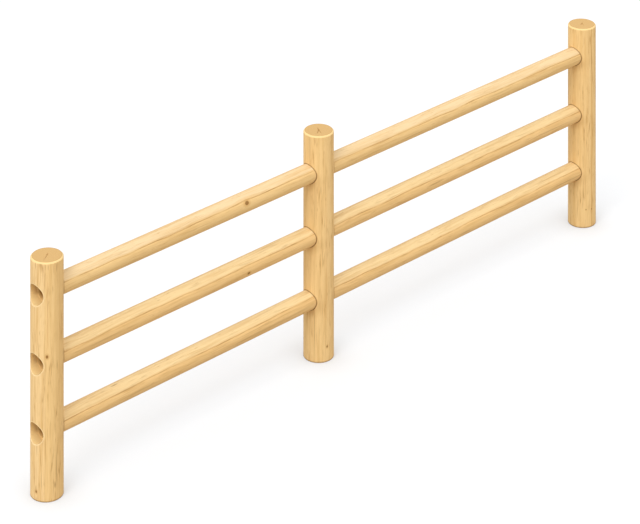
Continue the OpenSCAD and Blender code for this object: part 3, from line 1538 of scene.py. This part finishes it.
class Fence:
    """The fence: its posts and rails, each told apart by its own grain."""

    def __init__(self) -> None:
        """Lists the posts and the rails."""
        self.posts = [
            Post(
                "left_post", 911, -44.6, -1, (Side.RIGHT,),
                shakes=(Shake(-56, 62, 0.3), Shake(124, 22, 0.4)),
                bands=(Band(-9.5, 80, 0.3), Band(-27, -25, 0.4), Band(-86, -83.5, 0.5), Band(9, 11.5, 0.8)),
                knots=(Knot(0.693, -38, 5.0), Knot(0.045, -78, 4.0)),
                pockets=(
                    Pocket(1.12, -80, 5, 50), Pocket(1.118, -44, 4, 40), Pocket(1.118, -34, 4, 40),
                    Pocket(1.11, -3, 6, 60), Pocket(0.683, 35, 8, 50, 0.9), Pocket(0.644, -1, 6, 60),
                    Pocket(0.078, -9.5, 9, 44, 0.9), Pocket(0.15, -4, 12, 230, 0.45),
                    Pocket(0.1, -58, 5, 120, 0.5), Pocket(0.058, -79, 6, 44, 0.8),
                    Pocket(0.26, -75, 5, 120, 0.5), Pocket(1.0, -78, 8, 60, 0.5),
                ),
                checks=(Check(-36, 0.72, 1.1),),
            ),
            Post(
                "middle_post", 623, 60.0, 1, (Side.LEFT, Side.RIGHT),
                shakes=(Shake(-53, 48, 0.9), Shake(-25, 48, 0.9), Shake(151, 30, 0.8)),
                # Band(15, 70) darkens the side turned away from the key lamp: painted shade.
                bands=(
                    Band(-80, -75, 0.25), Band(-62.5, -59.5, 0.35), Band(-16, -14, 0.3),
                    Band(15, 70, 0.3), Band(15, 18, 0.5),
                ),
                knots=(Knot(0.08, -10, 3.5),),
                pockets=(
                    Pocket(0.18, -60, 6, 360, 0.45), Pocket(0.9, -35, 7, 60, 0.5),
                    Pocket(0.3, -42, 5, 90, 0.4),
                    Pocket(1.14, -80, 30, 380, 0.24), Pocket(0.82, -58, 16, 320, 0.16),
                ),
                checks=(Check(-13.5, 0.2, 0.9),),
            ),
            Post(
                "right_post", 837, 80.0, 1, (Side.LEFT,),
                shakes=(Shake(-70, 28, 0.8), Shake(-20, 28, 0.7), Shake(120, 20, 0.7)),
                # Band(20, 70) darkens the side turned away from the key lamp: painted shade.
                bands=(
                    Band(-90, -76, 0.4), Band(-9, -3, 0.7),
                    Band(-57, -54.5, 0.4), Band(20, 70, 0.3),
                ),
                knots=(Knot(0.102, -5, 2.5), Knot(0.105, -32, 2.0)),
                pockets=(Pocket(0.25, -80, 6, 60, 0.5), Pocket(0.95, -5, 8, 260, 0.45)),
                checks=(Check(-22.5, 0.3, 1.0),),
            ),
        ]
        self.rails = [
            Rail(
                "left_top_rail", 241, 28, 34, TOP_RAIL_FINISH, knots=(Knot(-0.549, 21, 8.0),),
                pockets=(Pocket(-1.31, -28, 8, 160, 0.35), Pocket(-0.9, 5, 6, 300, 0.2)),
            ),
            Rail(
                "left_middle_rail", 43, 26, 32, LOWER_RAIL_WARM_LIT_FINISH, knots=(Knot(-0.537, -14, 5.5),),
                pockets=(Pocket(-1.49, -5, 12, 260, 0.3), Pocket(-1.05, -12, 8, 220, 0.25)),
            ),
            Rail(
                "left_bottom_rail", 947, 25, 36, LOWER_RAIL_WARM_LIT_FINISH,
                pockets=(
                    Pocket(-0.4, -9, 22, 800, 0.3), Pocket(-0.45, 18, 7, 700, 0.25),
                    Pocket(-1.25, -10, 14, 300, 0.35), Pocket(-1.33, 30, 6, 260, 0.35),
                    Pocket(-1.39, 82, 9, 60, 0.8),
                ),
            ),
            Rail(
                "right_top_rail", 153, 31, 26, TOP_RAIL_FINISH,
                pockets=(Pocket(0.67, -13, 10, 240, 0.35), Pocket(1.34, 9, 9, 220, 0.3)),
            ),
            Rail(
                "right_middle_rail", 59, 27, 31, LOWER_RAIL_WARM_LIT_FINISH,
                pockets=(Pocket(0.83, 1, 14, 140, 0.4), Pocket(1.78, -2, 10, 420, 0.35)),
            ),
            Rail(
                "right_bottom_rail", 361, 29, 31, LOWER_RAIL_WARM_LIT_FINISH,
                pockets=(
                    Pocket(1.07, -16, 12, 140, 0.4), Pocket(1.9, -9, 14, 420, 0.35),
                    Pocket(1.8, 60, 7, 420, 0.25),
                ),
            ),
        ]

    def build(self) -> None:
        """Builds each piece in the place of its CAD node."""
        for timber, stock in [(p, Stock.POST) for p in self.posts] + [(r, Stock.RAIL) for r in self.rails]:
            piece = timber.build()
            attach(piece, BODY)
            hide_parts(timber.node)
            LOG.info("%s: %d faces", piece.name, len(piece.data.polygons))


def main() -> None:
    """Builds the fence and the studio round it."""
    logging.basicConfig(level=logging.INFO, format="%(name)s %(message)s")
    Fence().build()
    Studio().build()


if __name__ == "__main__":
    main()
